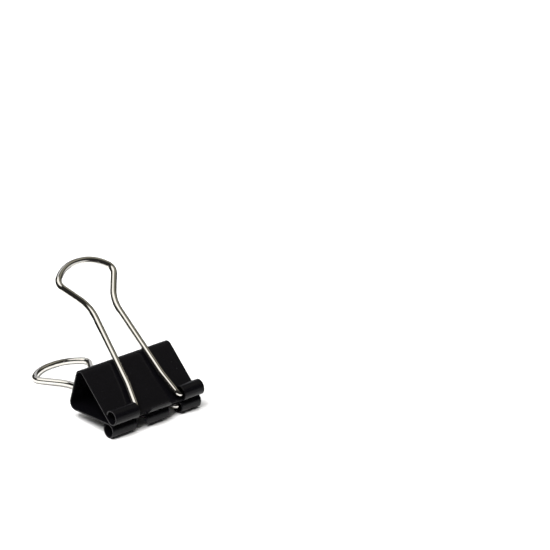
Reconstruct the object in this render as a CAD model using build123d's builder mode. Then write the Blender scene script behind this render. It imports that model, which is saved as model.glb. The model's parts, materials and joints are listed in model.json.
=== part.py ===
from build123d import *
import os
from math import asin, cos, degrees, radians, sin

# Small binder clip, closed, standing on its lower lip and its folded lower handle.
# One spring-steel strip is bent into a spine and two jaws, and each jaw's lip is rolled
# into two tubes that hold the ends of a wire handle, with a half-rolled tab between them.
# The strip is cut across its two bends, so that the jaws can turn about hinge lines there,
# as the real strip flexes.
#
# Frame: X along the lips, Y from the mouth to the spine, Z up, origin at the middle of
# the bounding box on the surface that the clip stands on.

# Driving dimensions, in millimetres and degrees
clip_width = 19.0
sheet = 0.3
half_angle = 23.2
wall_flat = 9.2
bend_radius = 1.25
lip_radius = 1.375
mouth_gap = 0.05
bend_split_gap = 0.04

tube_roll_angle = 312
tab_roll_angle = 138
notch_roll_angle = 50
tab_half_width = 2.5
tab_corner_radius = 0.7
left_tube_end = -4.5
right_tube_start = 5.3

wire_diameter = 1.1
handle_fold = 2.3
elbow_half_width = 4.45
elbow_radius = 1.05
pin_reach = 8.6
pin_chamfer = 0.12
flare = (3.6, 4.6)
flare_radius = 9.0
neck = (2.4, 20.0)
neck_radius = 6.5
shoulder = (6.1, 25.85)
shoulder_radius = 1.6
crown_half_width = 3.05
crown_radius = 6.8
handle_length = 28.8
handle_shift = 0.4
upper_handle_lean = 1.0
lower_handle_lean = -0.6

# Tilt of the closed clip: the lower lip and the lower handle's crown both touch the ground
wire_radius = wire_diameter / 2
handle_slope = degrees(asin((lip_radius - wire_radius) / handle_length))
clip_tilt = half_angle - handle_fold - handle_slope

# Middle of the mouth, set so that the box is centred on Y and starts at Z = 0
lip_offset = lip_radius + mouth_gap / 2
lip_y = lip_offset * sin(radians(clip_tilt))
box_front = -lip_y - lip_radius
box_back = lip_y + handle_length * cos(radians(handle_slope)) + wire_radius
mouth_y = -(box_front + box_back) / 2
mouth_z = lip_radius + lip_offset * cos(radians(clip_tilt))

# Section plane of the clip: local x from the mouth to the spine, local y from the lower
# jaw to the upper one, and its normal along the lips
section = Plane(
    origin=(0, mouth_y, mouth_z),
    x_dir=(0, cos(radians(clip_tilt)), sin(radians(clip_tilt))),
    z_dir=(1, 0, 0),
)

# Centre line of the strip in that plane, for the upper jaw
wall_x = cos(radians(half_angle))
wall_y = sin(radians(half_angle))
roll_start_x = (lip_radius - sheet / 2) * wall_y
roll_start_y = lip_offset - (lip_radius - sheet / 2) * wall_x
bend_line = bend_radius - sheet / 2
bend_x = roll_start_x + wall_flat * wall_x + bend_line * wall_y
bend_y = roll_start_y + wall_flat * wall_y - bend_line * wall_x
spine_x = bend_x + bend_line
split_angle = (90 + half_angle) / 2
split_half_gap = degrees(bend_split_gap / 2 / bend_line)
hinge_x = bend_x + bend_radius * cos(radians(split_angle))
hinge_y = bend_y + bend_radius * sin(radians(split_angle))

half_width = clip_width / 2


def draw_jaw(side, roll_angle):
    """Centre line of one jaw, from its half of the bend to the end of its rolled lip."""
    wall_end_x = bend_x - bend_line * wall_y
    wall_end_y = bend_y + bend_line * wall_x
    bend_start = split_angle + split_half_gap
    bend_size = 90 + half_angle - bend_start
    roll_line = lip_radius - sheet / 2
    CenterArc((bend_x, side * bend_y), bend_line, side * bend_start, side * bend_size)
    Line((wall_end_x, side * wall_end_y), (roll_start_x, side * roll_start_y))
    CenterArc((0, side * lip_offset), roll_line, side * (half_angle - 90), -side * roll_angle)


def add_jaw(side):
    """One jaw: tube, notch, tab, notch and tube side by side along the lip."""
    zones = [
        (-half_width, left_tube_end, tube_roll_angle),
        (left_tube_end, -tab_half_width, notch_roll_angle),
        (-tab_half_width, tab_half_width, tab_roll_angle),
        (tab_half_width, right_tube_start, notch_roll_angle),
        (right_tube_start, half_width, tube_roll_angle),
    ]
    for start, end, roll_angle in zones:
        with BuildSketch(section.offset(start)) as strip:
            with BuildLine():
                draw_jaw(side, roll_angle)
            trace(line_width=sheet)
        extrude(strip.sketch, amount=end - start)


def tab_corners(jaw, side):
    """The two short edges at the free corners of a jaw's tab."""
    turn = radians(half_angle - 90 - tab_roll_angle)
    reach = lip_radius - sheet / 2
    x, y = reach * cos(turn), lip_offset + reach * sin(turn)
    ends = (-tab_half_width, tab_half_width)
    corners = [section.from_local_coords((x, side * y, end)) for end in ends]
    return [jaw.edges().sort_by_distance(corner)[0] for corner in corners]


def add_handle(side, lean):
    """One wire handle: two pins, two elbows, two legs and the round head, leaning to +X."""
    angle = radians(clip_tilt + side * (half_angle - handle_fold))
    aside = sin(radians(lean))
    pivot = section.from_local_coords((0, side * lip_offset, 0))
    plane = Plane(
        origin=(handle_shift, pivot.Y, pivot.Z),
        x_dir=(cos(radians(lean)), -aside * cos(angle), -aside * sin(angle)),
        z_dir=(0, -sin(angle), cos(angle)),
    )
    half = [
        (pin_reach, 0),
        (elbow_half_width, 0),
        flare,
        neck,
        shoulder,
        (crown_half_width, handle_length),
    ]
    radii = [elbow_radius, flare_radius, neck_radius, shoulder_radius, crown_radius]
    with BuildLine(plane) as route:
        FilletPolyline(
            *half,
            *[(-x, y) for x, y in reversed(half)],
            radius=radii + radii[::-1],
        )
    path = route.line
    with BuildSketch(Plane(origin=path @ 0, z_dir=path % 0)) as wire:
        Circle(wire_radius)
    sweep(wire.sketch, path=path)


with BuildPart() as spine:
    with BuildSketch(section.offset(-half_width)):
        with BuildLine():
            arc_size = split_angle - split_half_gap
            CenterArc((bend_x, -bend_y), bend_line, -arc_size, arc_size)
            Line((spine_x, -bend_y), (spine_x, bend_y))
            CenterArc((bend_x, bend_y), bend_line, 0, arc_size)
        trace(line_width=sheet)
    extrude(amount=clip_width)

with BuildPart() as upper_jaw:
    add_jaw(1)
    fillet(tab_corners(upper_jaw, 1), tab_corner_radius)

with BuildPart() as lower_jaw:
    add_jaw(-1)
    fillet(tab_corners(lower_jaw, -1), tab_corner_radius)

with BuildPart() as upper_handle:
    add_handle(1, upper_handle_lean)
    chamfer(upper_handle.edges().group_by(Axis.X)[0], pin_chamfer)
    chamfer(upper_handle.edges().group_by(Axis.X)[-1], pin_chamfer)

with BuildPart() as lower_handle:
    add_handle(-1, lower_handle_lean)
    chamfer(lower_handle.edges().group_by(Axis.X)[0], pin_chamfer)
    chamfer(lower_handle.edges().group_by(Axis.X)[-1], pin_chamfer)

# Places that the joints and mounts use
for name, x, y in [
    ("upper bend hinge", hinge_x, hinge_y),
    ("lower bend hinge", hinge_x, -hinge_y),
    ("upper handle pivot", 0, lip_offset),
    ("lower handle pivot", 0, -lip_offset),
    ("mouth", 0, 0),
    ("spine face", spine_x + sheet / 2, 0),
]:
    place = section.from_local_coords((x, y, 0))
    print(f"{name}: y {place.Y:.4f} z {place.Z:.4f}")
print(f"clip tilt {clip_tilt:.3f}, handle slope {handle_slope:.3f}")

os.makedirs("parts", exist_ok=True)
for name, piece in {
    "spine": spine,
    "upper_jaw": upper_jaw,
    "lower_jaw": lower_jaw,
    "upper_handle": upper_handle,
    "lower_handle": lower_handle,
}.items():
    piece.part.label = name
    export_step(piece.part, f"parts/{name}.step")
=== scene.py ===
import json
from math import atan2, cos, hypot, pi, radians, sin, sqrt, tan

import bmesh
import bpy
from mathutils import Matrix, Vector


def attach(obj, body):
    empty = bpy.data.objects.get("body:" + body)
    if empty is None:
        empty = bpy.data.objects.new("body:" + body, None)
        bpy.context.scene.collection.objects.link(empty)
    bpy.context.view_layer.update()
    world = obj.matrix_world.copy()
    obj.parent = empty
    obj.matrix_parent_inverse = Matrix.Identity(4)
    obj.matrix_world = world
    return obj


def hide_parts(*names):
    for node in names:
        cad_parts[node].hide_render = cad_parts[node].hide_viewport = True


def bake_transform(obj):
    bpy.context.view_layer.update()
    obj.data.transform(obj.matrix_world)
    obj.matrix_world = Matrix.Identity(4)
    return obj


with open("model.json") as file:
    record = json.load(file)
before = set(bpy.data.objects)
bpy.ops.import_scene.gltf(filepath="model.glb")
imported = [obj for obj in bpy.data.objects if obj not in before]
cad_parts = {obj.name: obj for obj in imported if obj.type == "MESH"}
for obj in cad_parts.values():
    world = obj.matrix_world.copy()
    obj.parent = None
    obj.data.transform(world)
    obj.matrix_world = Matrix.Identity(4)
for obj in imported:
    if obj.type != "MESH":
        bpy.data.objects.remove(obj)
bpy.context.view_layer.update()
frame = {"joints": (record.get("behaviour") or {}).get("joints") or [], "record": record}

# Small binder clip: one bent sheet of black enamelled spring steel, and two nickel wire
# handles whose ends turn in its rolled lips. Metres and radians, in the CAD model's frame.
# The sheet is drawn as two meshes that meet in the middle of the spine.

MM = 0.001

# The bent sheet's section: a flat spine, a round bend, a flat wall and a rolled lip
SHEET = 0.3 * MM
HALF_ANGLE = radians(23.2)
WALL_FLAT = 9.2 * MM
BEND_RADIUS = 1.25 * MM
LIP_RADIUS = 1.375 * MM
MOUTH_GAP = 0.05 * MM

# Along each lip: a tube, a notch for the wire, a half-rolled tab, a notch and a tube
CLIP_WIDTH = 19.0 * MM
TAB_HALF_WIDTH = 2.5 * MM
LEFT_TUBE_END = -4.5 * MM
RIGHT_TUBE_START = 5.3 * MM
TUBE_ROLL = radians(312)
TAB_ROLL = radians(138)
NOTCH_ROLL = radians(50)
TUBE_CORNER = 0.3 * MM
TAB_CORNER = 1.1 * MM
NOTCH_CORNER = 0.45 * MM
RIM_ROUND = 0.06 * MM

# The wire handles, as a route in each handle's own plane: half its corners and their radii
WIRE_RADIUS = 0.55 * MM
HANDLE_FOLD = radians(2.3)
HANDLE_SHIFT = 0.4 * MM
UPPER_HANDLE_LEAN = radians(1.0)
LOWER_HANDLE_LEAN = radians(-0.6)
HANDLE_CORNERS = [(8.6, 0), (4.45, 0), (3.6, 4.6), (2.4, 20.0), (6.1, 25.85), (3.05, 28.8)]
HANDLE_RADII = [1.05, 9.0, 6.5, 1.6, 6.8]
WIRE_END_ROUND = 0.16 * MM

# Fineness of the meshes
ARC_STEP = radians(5)
COLUMN_STEP = 0.55 * MM
RUN_STEP = 0.8 * MM
WIRE_SIDES = 32

# The stage: half the sheet that reflections show, half the floor, where the floor starts to
# glow and glows fully, the dome's radius, the lamps' width and the place that they aim at
NEAR_FLOOR = 22 * MM
FAR_FLOOR = 0.8
GLOW_START = 0.1
GLOW_FULL = 0.6
DOME_RADIUS = 0.76
SOFTBOX_SIZE = 0.3
CLIP_MIDDLE = Vector((0, 0, 8 * MM))
DIM_ROOM = (0.03, 0.029, 0.028)

# The photograph's view of the clip's mouth
VIEW_AZIMUTH = radians(-41.287)
VIEW_ELEVATION = radians(22.779)
VIEW_DISTANCE = 438.82 * MM
VIEW_RIGHT = -20.336 * MM
VIEW_ABOVE = -22.483 * MM
LENS = 170.28
SENSOR = 36

# Where the CAD record puts the clip: its mouth, its tilt, and the handles' pivots
mounts = {m["name"]: m for m in frame["record"]["mounts"]}
joints = {j["name"]: j for j in frame["joints"]}
mouth = Vector(mounts["jaw_mouth"]["pos_m"])
to_mouth = Vector(mounts["jaw_mouth"]["axis"])
inward = -to_mouth.normalized()
upward = Vector((1, 0, 0)).cross(inward)
clip_tilt = atan2(inward.z, inward.y)

# The section's own lengths and places, from the mouth inward and up
wall_cos = cos(HALF_ANGLE)
wall_sin = sin(HALF_ANGLE)
lip_offset = LIP_RADIUS + MOUTH_GAP / 2
lip_line = LIP_RADIUS - SHEET / 2
bend_line = BEND_RADIUS - SHEET / 2
bend_x = lip_line * wall_sin + WALL_FLAT * wall_cos + bend_line * wall_sin
bend_y = lip_offset - lip_line * wall_cos + WALL_FLAT * wall_sin - bend_line * wall_cos
spine_x = bend_x + bend_line
bend_angle = pi / 2 + HALF_ANGLE

# Distances along the developed strip, from the middle of the spine
at_bend = bend_y
at_wall = at_bend + bend_line * bend_angle
at_roll = at_wall + WALL_FLAT
at_notch = at_roll + NOTCH_ROLL * lip_line - RIM_ROUND
at_notch_corner = at_notch + NOTCH_CORNER


def spread(start, end, step):
    """Evenly spaced values from start to end, both included, at most a step apart."""
    count = max(1, round(abs(end - start) / step + 0.499))
    return [start + (end - start) * i / count for i in range(count + 1)]


# ---------------------------------------------------------------- the bent steel sheet


def strip_line(s):
    """Centre line of the upper half of the strip: its place in the section, and the way out."""
    if s <= at_bend:
        return spine_x, s, 1, 0
    if s <= at_wall:
        turn = (s - at_bend) / bend_line
        away = (cos(turn), sin(turn))
        return bend_x + bend_line * away[0], bend_y + bend_line * away[1], *away
    if s <= at_roll:
        part = (s - at_wall) / WALL_FLAT
        start = (bend_x - bend_line * wall_sin, bend_y + bend_line * wall_cos)
        end = (lip_line * wall_sin, lip_offset - lip_line * wall_cos)
        place = [a + part * (b - a) for a, b in zip(start, end)]
        return *place, -wall_sin, wall_cos
    turn = HALF_ANGLE - pi / 2 - (s - at_roll) / lip_line
    return lip_line * cos(turn), lip_offset + lip_line * sin(turn), -cos(turn), -sin(turn)


def strip_point(side, x, s, n):
    """Point of the bent strip at x along the lips, s along the strip and n out from its middle."""
    along, up, out_along, out_up = strip_line(s)
    place = mouth + inward * (along + n * out_along) + upward * side * (up + n * out_up)
    return place + Vector((x, 0, 0))


def rounded_edge(x, start, end, level, radius, way):
    """Level of an edge across start to end whose corners are round, rising or falling there."""
    gap = min(x - start, end - x, radius)
    return level + way * (radius - sqrt(radius**2 - (radius - gap) ** 2))


def zone_columns(start, end, radius):
    """Columns across one zone of the lip, closer together where its corners are round."""
    corner = [radius * (1 - cos(radians(a))) for a in (0, 18, 36, 54, 72)]
    middle = spread(start + radius, end - radius, COLUMN_STEP)
    return [start + c for c in corner] + middle + [end - c for c in reversed(corner)]


def strip_columns():
    """Every column of the strip: its x, and the level of each of its rows."""
    half = CLIP_WIDTH / 2 - RIM_ROUND
    tab = TAB_HALF_WIDTH - RIM_ROUND
    left = LEFT_TUBE_END - RIM_ROUND
    right = RIGHT_TUBE_START + RIM_ROUND
    zones = [
        (-half, left, TUBE_ROLL, TUBE_CORNER),
        (left, -tab, NOTCH_ROLL, NOTCH_CORNER),
        (-tab, tab, TAB_ROLL, TAB_CORNER),
        (tab, right, NOTCH_ROLL, NOTCH_CORNER),
        (right, half, TUBE_ROLL, TUBE_CORNER),
    ]
    arc = ARC_STEP * lip_line
    roll_steps = spread(at_roll, at_notch_corner, arc)[1:]
    root = spread(0, at_bend, COLUMN_STEP)
    root += spread(at_bend, at_wall, ARC_STEP * bend_line)[1:]
    root += spread(at_wall, at_roll, COLUMN_STEP)[1:]
    columns = {}
    for start, end, roll, radius in zones:
        notch = roll == NOTCH_ROLL
        for x in zone_columns(start, end, radius):
            level = at_notch_corner
            if notch:
                level = rounded_edge(x, start, end, at_notch, radius, 1)
            share = (level - at_roll) / (at_notch_corner - at_roll)
            rows = root + [at_roll + share * (s - at_roll) for s in roll_steps]
            if not notch:
                roll_end = at_roll + roll * lip_line
                tip = rounded_edge(x, start, end, roll_end - RIM_ROUND, radius, -1)
                share = (tip - at_notch_corner) / (roll_end - at_notch_corner)
                steps = spread(at_notch_corner, roll_end, arc)[1:]
                rows += [at_notch_corner + share * (s - at_notch_corner) for s in steps]
            # Where two zones meet, the longer column stays
            key = round(x / MM, 6)
            if len(rows) > len(columns.get(key, [])):
                columns[key] = rows
    return [(key * MM, columns[key]) for key in sorted(columns)]


def rim_chain(faces, points):
    """The strip's free edge, from one end of the spine's middle round the lips to the other."""
    used = {}
    for face in faces:
        for a, b in zip(face, face[1:] + face[:1]):
            used.setdefault(frozenset((a, b)), []).append((a, b))
    after = {}
    for sides in used.values():
        a, b = sides[0]
        on_seam = points[a][1] == 0 and points[b][1] == 0
        if len(sides) == 1 and not on_seam:
            after[a] = b
    start = next(a for a in after if a not in after.values())
    chain = [start]
    while chain[-1] in after:
        chain.append(after[chain[-1]])
    return chain


def add_sheet(name, side, material):
    """One half of the sheet as a closed mesh with rounded edges."""
    columns = strip_columns()
    points = []
    first = []
    for x, rows in columns:
        first.append(len(points))
        points += [(x, s) for s in rows]
    cells = []
    for j in range(len(columns) - 1):
        shared = min(len(columns[j][1]), len(columns[j + 1][1]))
        for i in range(shared - 1):
            a, b = first[j] + i, first[j + 1] + i
            cells.append([a, b, b + 1, a + 1])

    blank = [(x, s, SHEET / 2) for x, s in points]
    blank += [(x, s, -SHEET / 2) for x, s in points]
    rim = [0.0] * len(blank)
    below = len(points)
    faces = list(cells)
    faces += [[i + below for i in reversed(cell)] for cell in cells]

    chain = rim_chain(cells, points)
    flat = SHEET / 2 - RIM_ROUND
    turns = [radians(a) for a in (60, 30, 0)]
    profile = [(RIM_ROUND * cos(a), flat + RIM_ROUND * sin(a)) for a in turns]
    profile += [(e, -n) for e, n in reversed(profile)]
    rings = []
    for k, i in enumerate(chain):
        before, beyond = points[chain[max(k - 1, 0)]], points[chain[min(k + 1, len(chain) - 1)]]
        dx, ds = beyond[0] - before[0], beyond[1] - before[1]
        length = hypot(dx, ds)
        out = (ds / length, -dx / length)
        x, s = points[i]
        ring = [i]
        for e, n in profile:
            ring.append(len(blank))
            blank.append((x + e * out[0], s + e * out[1], n))
            rim.append(1.0)
        rings.append(ring + [i + below])
    for here, there in zip(rings, rings[1:]):
        for a, b, c, d in zip(here, here[1:], there[1:], there):
            faces.append([a, b, c, d])
    for a, b in zip(first, first[1:]):
        faces.append([b, a, a + below, b + below])
    faces.append(rings[0])
    faces.append(rings[-1][::-1])

    mesh = bpy.data.meshes.new(name)
    mesh.from_pydata([strip_point(side, x, s, n) for x, s, n in blank], [], faces)
    return finish_mesh(name, mesh, blank, rim, material)


# ---------------------------------------------------------------- the wire handles


def straight_run(start, end):
    """Points of a straight run, without its start."""
    return [start.lerp(end, part) for part in spread(0, 1, RUN_STEP / (end - start).length)[1:]]


def wire_route():
    """Points of a handle's centre line in its plane, its straight runs and round corners."""
    half = [Vector((x, y)) * MM for x, y in HANDLE_CORNERS]
    corners = half + [Vector((-p.x, p.y)) for p in reversed(half)]
    radii = [r * MM for r in HANDLE_RADII]
    radii += radii[::-1]
    route = [corners[0]]
    for before, corner, beyond, radius in zip(corners, corners[1:], corners[2:], radii):
        to_before = (before - corner).normalized()
        to_beyond = (beyond - corner).normalized()
        turn = pi - to_before.angle(to_beyond)
        reach = radius * tan(turn / 2)
        start = corner + to_before * reach
        centre = corner + (to_before + to_beyond).normalized() * radius / cos(turn / 2)
        side = 1 if to_before.x * to_beyond.y - to_before.y * to_beyond.x < 0 else -1
        route += straight_run(route[-1], start)
        spoke = start - centre
        for a in spread(0, turn, ARC_STEP)[1:]:
            c, s = cos(a * side), sin(a * side)
            route.append(centre + Vector((spoke.x * c - spoke.y * s, spoke.x * s + spoke.y * c)))
    return route + straight_run(route[-1], corners[-1])


def add_handle(name, side, pivot, lean, material):
    """One wire handle as a tube along its route, with rounded ends, leaning to +X."""
    slope = clip_tilt + side * (HALF_ANGLE - HANDLE_FOLD)
    straight = Vector((0, cos(slope), sin(slope)))
    outward = straight * cos(lean) + Vector((sin(lean), 0, 0))
    across = Vector((cos(lean), 0, 0)) - straight * sin(lean)
    normal = across.cross(outward)
    route = wire_route()
    blank = []
    places = []
    gone = 0.0
    for k, point in enumerate(route):
        before, beyond = route[max(k - 1, 0)], route[min(k + 1, len(route) - 1)]
        heading = (beyond - before).normalized()
        gone += (point - before).length
        sideways = Vector((heading.y, -heading.x))
        rings = [(0, WIRE_RADIUS)]
        if k in (0, len(route) - 1):
            way = -1 if k == 0 else 1
            rings = []
            for a in (90, 60, 30, 0):
                shift = WIRE_END_ROUND * (cos(radians(a)) - 1)
                narrow = WIRE_END_ROUND * (1 - sin(radians(a)))
                rings.append((way * shift, WIRE_RADIUS - narrow))
            rings[0] = (way * -WIRE_END_ROUND, WIRE_RADIUS)
            if k == 0:
                rings.reverse()
        for shift, radius in rings:
            centre = point + heading * shift
            for i in range(WIRE_SIDES):
                a = 2 * pi * i / WIRE_SIDES
                flat = centre + sideways * radius * cos(a)
                places.append(
                    pivot + across * flat.x + outward * flat.y + normal * radius * sin(a)
                )
                blank.append((radius * cos(a), radius * sin(a), gone + shift))
    faces = []
    count = len(places) // WIRE_SIDES
    for k in range(count - 1):
        for i in range(WIRE_SIDES):
            a, b = k * WIRE_SIDES + i, k * WIRE_SIDES + (i + 1) % WIRE_SIDES
            faces.append([a, b, b + WIRE_SIDES, a + WIRE_SIDES])
    faces.append(list(range(WIRE_SIDES)))
    faces.append(list(range((count - 1) * WIRE_SIDES, count * WIRE_SIDES)))
    mesh = bpy.data.meshes.new(name)
    mesh.from_pydata(places, [], faces)
    return finish_mesh(name, mesh, blank, [0.0] * len(blank), material)


def finish_mesh(name, mesh, blank, rim, material):
    """Faces outward, shades smooth, and keeps each point's place on the unbent blank."""
    attribute = mesh.attributes.new("blank", "FLOAT_VECTOR", "POINT")
    attribute.data.foreach_set("vector", [v for point in blank for v in point])
    attribute = mesh.attributes.new("rim", "FLOAT", "POINT")
    attribute.data.foreach_set("value", rim)
    work = bmesh.new()
    work.from_mesh(mesh)
    bmesh.ops.recalc_face_normals(work, faces=work.faces)
    for edge in work.edges:
        edge.smooth = edge.calc_face_angle(0) < radians(50)
    for face in work.faces:
        face.smooth = True
    work.to_mesh(mesh)
    work.free()
    mesh.materials.append(material)
    piece = bpy.data.objects.new(name, mesh)
    bpy.context.scene.collection.objects.link(piece)
    return piece


# ---------------------------------------------------------------- materials


class Nodes:
    """Short calls for building the node tree of a material or a world."""

    def __init__(self, block):
        block.use_nodes = True
        self.block = block
        self.tree = block.node_tree

    def add(self, kind, **values):
        node = self.tree.nodes.new("ShaderNode" + kind)
        for key, value in values.items():
            setattr(node, key, value)
        return node

    def link(self, source, target):
        self.tree.links.new(source, target)

    def blank(self, scale):
        """Coordinates on the unbent blank, stretched by scale."""
        place = self.add("Attribute", attribute_name="blank")
        mapping = self.add("Mapping")
        mapping.inputs["Scale"].default_value = scale
        self.link(place.outputs["Vector"], mapping.inputs["Vector"])
        return mapping.outputs["Vector"]

    def noise(self, scale, detail=3, rough=0.5):
        """Noise over the blank, with scale as cells per metre along its three ways."""
        node = self.add("TexNoise")
        node.inputs["Scale"].default_value = 1
        node.inputs["Detail"].default_value = detail
        node.inputs["Roughness"].default_value = rough
        self.link(self.blank(scale), node.inputs["Vector"])
        return node.outputs["Fac"]

    def levels(self, value, low, high, to_low, to_high, way="LINEAR"):
        """Value moved from the range low to high to the range to_low to to_high."""
        node = self.add("MapRange", interpolation_type=way)
        node.inputs["From Min"].default_value = low
        node.inputs["From Max"].default_value = high
        node.inputs["To Min"].default_value = to_low
        node.inputs["To Max"].default_value = to_high
        self.link(value, node.inputs["Value"])
        return node.outputs["Result"]

    def mix(self, factor, low, high):
        """Colour from low to high, each a colour or another socket."""
        node = self.add("Mix", data_type="RGBA")
        self.link(factor, node.inputs["Factor"])
        for socket, value in ((node.inputs[6], low), (node.inputs[7], high)):
            if isinstance(value, tuple):
                socket.default_value = (*value, 1)
            else:
                self.link(value, socket)
        return node.outputs[2]

    def product(self, a, b):
        node = self.add("Math", operation="MULTIPLY")
        self.link(a, node.inputs[0])
        self.link(b, node.inputs[1])
        return node.outputs[0]

    def bump(self, height, distance, onto=None):
        """Normal of a height in metres, laid over another normal if there is one."""
        node = self.add("Bump")
        node.inputs["Distance"].default_value = distance
        self.link(height, node.inputs["Height"])
        if onto is not None:
            self.link(onto, node.inputs["Normal"])
        return node.outputs["Normal"]


def new_material(name):
    """A material's nodes, and the inputs of its shader."""
    m = Nodes(bpy.data.materials.new(name))
    return m, m.tree.nodes["Principled BSDF"].inputs


def black_enamel():
    """Glossy black enamel: faint orange peel, edges lightened partly as rubbed paint and partly as
    a painted highlight, and a little dust.
    """
    m, s = new_material("black_enamel")
    clouds = m.noise((900, 900, 900), 4)
    edge_patches = m.noise((2600, 2600, 2600), 3)
    rim = m.add("Attribute", attribute_name="rim").outputs["Fac"]
    # Painted highlight: the sheet's rounded edges are lightened in patches, partly as rubbed paint
    # and partly as a painted edge highlight
    rubbed_and_highlit_edge = m.product(rim, m.levels(edge_patches, 0.45, 0.7, 0, 0.5))
    body = m.mix(clouds, (0.0018, 0.0017, 0.0024), (0.0034, 0.0032, 0.0041))
    dust = m.add("TexVoronoi", feature="F1")
    dust.inputs["Scale"].default_value = 1
    m.link(m.blank((1500, 1500, 1500)), dust.inputs["Vector"])
    speck = m.levels(dust.outputs["Distance"], 0.04, 0.09, 1, 0)
    few = m.levels(m.noise((700, 700, 700), 2), 0.61, 0.66, 0, 1)
    speck = m.product(speck, few)
    # Lighter colour on the edges: partly rubbed paint, partly a painted highlight
    body = m.mix(rubbed_and_highlit_edge, body, (0.008, 0.0077, 0.0085))
    m.link(m.mix(speck, body, (0.07, 0.07, 0.073)), s["Base Color"])
    m.link(m.levels(clouds, 0.3, 0.7, 0.15, 0.23), s["Roughness"])
    s["Specular IOR Level"].default_value = 0.13
    peel = m.noise((2200, 2200, 2200), 2)
    normal = m.bump(peel, 0.0025 * MM)
    m.link(m.bump(clouds, 0.007 * MM, normal), s["Normal"])
    return m.block


def bright_nickel():
    """Bright nickel plate on drawn wire: fine lines along it and a slight warm cloud."""
    m, s = new_material("bright_nickel")
    lines = m.noise((9000, 9000, 160), 3)
    clouds = m.noise((500, 500, 260), 3)
    s["Metallic"].default_value = 1
    m.link(m.mix(clouds, (0.61, 0.59, 0.55), (0.70, 0.685, 0.65)), s["Base Color"])
    m.link(m.levels(clouds, 0.3, 0.7, 0.06, 0.12), s["Roughness"])
    normal = m.bump(lines, 0.0015 * MM)
    m.link(m.bump(clouds, 0.004 * MM, normal), s["Normal"])
    return m.block


# ---------------------------------------------------------------- the clip's pieces


enamel = black_enamel()
nickel = bright_nickel()


upper_sheet = add_sheet("upper_sheet", 1, enamel)
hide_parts("upper_jaw", "spine")
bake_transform(upper_sheet)

lower_sheet = add_sheet("lower_sheet", -1, enamel)
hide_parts("lower_jaw")
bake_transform(lower_sheet)

for handle, side, lean in (
    ("upper_handle", 1, UPPER_HANDLE_LEAN),
    ("lower_handle", -1, LOWER_HANDLE_LEAN),
):
    pivot = Vector(joints[handle + "_pivot"]["pos_m"])
    pivot.x = HANDLE_SHIFT
    wire = add_handle(handle + "_wire", side, pivot, lean, nickel)
    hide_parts(handle)
    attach(wire, handle)


# ---------------------------------------------------------------- floor, light and camera


def way_out(azimuth, elevation):
    """Way out from the clip: azimuth turns from the front to the right, elevation rises."""
    flat = cos(elevation)
    return Vector((sin(azimuth) * flat, -cos(azimuth) * flat, sin(elevation)))


def floor_paper():
    """Matt white paper that glows far from the clip, where the lamps fade."""
    m, s = new_material("floor_paper")
    s["Base Color"].default_value = (0.92, 0.92, 0.92, 1)
    s["Roughness"].default_value = 0.8
    s["Emission Color"].default_value = (1, 1, 1, 1)
    reach = m.add("VectorMath", operation="LENGTH")
    m.link(m.add("TexCoord").outputs["Object"], reach.inputs[0])
    glow = m.levels(reach.outputs["Value"], GLOW_START, GLOW_FULL, 0, 1)
    m.link(glow, s["Emission Strength"])
    return m.block


def add_floor():
    """White sheet below the clip, and around it a white floor that reflections leave out."""
    paper = floor_paper()
    near = [(-NEAR_FLOOR, -NEAR_FLOOR), (NEAR_FLOOR, -NEAR_FLOOR), (NEAR_FLOOR, NEAR_FLOOR),
            (-NEAR_FLOOR, NEAR_FLOOR)]
    far = [(x * FAR_FLOOR / NEAR_FLOOR, y * FAR_FLOOR / NEAR_FLOOR) for x, y in near]
    corners = [(x, y, 0) for x, y in near + far]
    around = [[i, i + 4, (i + 1) % 4 + 4, (i + 1) % 4] for i in range(4)]
    for name, faces in (("floor_sheet", [[0, 1, 2, 3]]), ("floor", around)):
        mesh = bpy.data.meshes.new(name)
        mesh.from_pydata(corners, [], faces)
        mesh.materials.append(paper)
        floor = bpy.data.objects.new(name, mesh)
        floor.visible_glossy = name == "floor_sheet"
        bpy.context.scene.collection.objects.link(floor)


def add_backdrop():
    """Plain white dome, seen past the floor's edge and left out of light and reflections."""
    mesh = bpy.data.meshes.new("backdrop")
    work = bmesh.new()
    bmesh.ops.create_uvsphere(work, u_segments=48, v_segments=24, radius=DOME_RADIUS)
    work.to_mesh(mesh)
    work.free()
    m, s = new_material("backdrop")
    s["Base Color"].default_value = (0, 0, 0, 1)
    s["Specular IOR Level"].default_value = 0
    s["Emission Color"].default_value = (1, 1, 1, 1)
    s["Emission Strength"].default_value = 1
    mesh.materials.append(m.block)
    backdrop = bpy.data.objects.new("backdrop", mesh)
    backdrop.visible_diffuse = False
    backdrop.visible_glossy = False
    backdrop.visible_shadow = False
    bpy.context.scene.collection.objects.link(backdrop)


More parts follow.
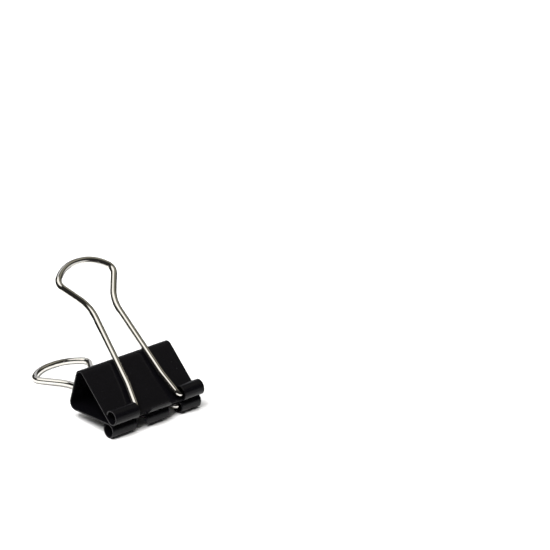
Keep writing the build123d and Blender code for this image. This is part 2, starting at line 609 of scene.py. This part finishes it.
def add_softbox(name, azimuth, elevation, distance, power):
    """Square soft light aimed at the clip's middle, left out of reflections."""
    light = bpy.data.lights.new(name, "AREA")
    light.size = SOFTBOX_SIZE
    light.energy = power
    away = way_out(radians(azimuth), radians(elevation))
    lamp = bpy.data.objects.new(name, light)
    lamp.location = CLIP_MIDDLE + away * distance
    lamp.rotation_mode = "QUATERNION"
    lamp.rotation_quaternion = (-away).to_track_quat("-Z", "Y")
    lamp.visible_glossy = False
    bpy.context.scene.collection.objects.link(lamp)


def add_world(panels):
    """Dim room with soft panels: each one's way, the angles of its core and edge, its colour."""
    m = Nodes(bpy.data.worlds.new("studio"))
    ways = m.add("TexCoord").outputs["Generated"]
    total = DIM_ROOM
    for azimuth, elevation, core, edge, colour in panels:
        near = m.add("VectorMath", operation="DOT_PRODUCT")
        near.inputs[1].default_value = way_out(radians(azimuth), radians(elevation))
        m.link(ways, near.inputs[0])
        narrow, wide = cos(radians(core)), cos(radians(edge))
        inside = m.levels(near.outputs["Value"], wide, narrow, 0, 1, "SMOOTHSTEP")
        total = m.mix(inside, total, colour)
    m.link(total, m.tree.nodes["Background"].inputs["Color"])
    bpy.context.scene.world = m.block


def add_camera():
    """Camera from the front left, looking down on the clip, which stands low in the view."""
    away = way_out(VIEW_AZIMUTH, VIEW_ELEVATION)
    right = Vector((cos(VIEW_AZIMUTH), sin(VIEW_AZIMUTH), 0))
    above = away.cross(right)
    data = bpy.data.cameras.new("camera")
    data.sensor_width = SENSOR
    data.lens = LENS
    data.clip_start = 0.01
    camera = bpy.data.objects.new("camera", data)
    camera.location = mouth - right * VIEW_RIGHT - above * VIEW_ABOVE + away * VIEW_DISTANCE
    camera.rotation_mode = "QUATERNION"
    camera.rotation_quaternion = (-away).to_track_quat("-Z", "Y")
    bpy.context.scene.collection.objects.link(camera)
    bpy.context.scene.camera = camera


add_floor()
add_backdrop()
add_world([
    (-84, 64, 30, 36, (1.55, 1.53, 1.47)),
    (170, 50, 10, 26, (0.84, 0.84, 0.86)),
    (50, -24, 22, 38, (1.1, 1.1, 1.1)),
    (135, 16, 6, 24, (0.7, 0.7, 0.72)),
    (86, 52, 8, 30, (0.36, 0.345, 0.285)),
])
add_softbox("key_light", -68, 58, 0.6, 4.6)
add_softbox("top_light", 20, 80, 0.7, 1.6)
add_camera()
bpy.context.scene.view_settings.view_transform = "Standard"
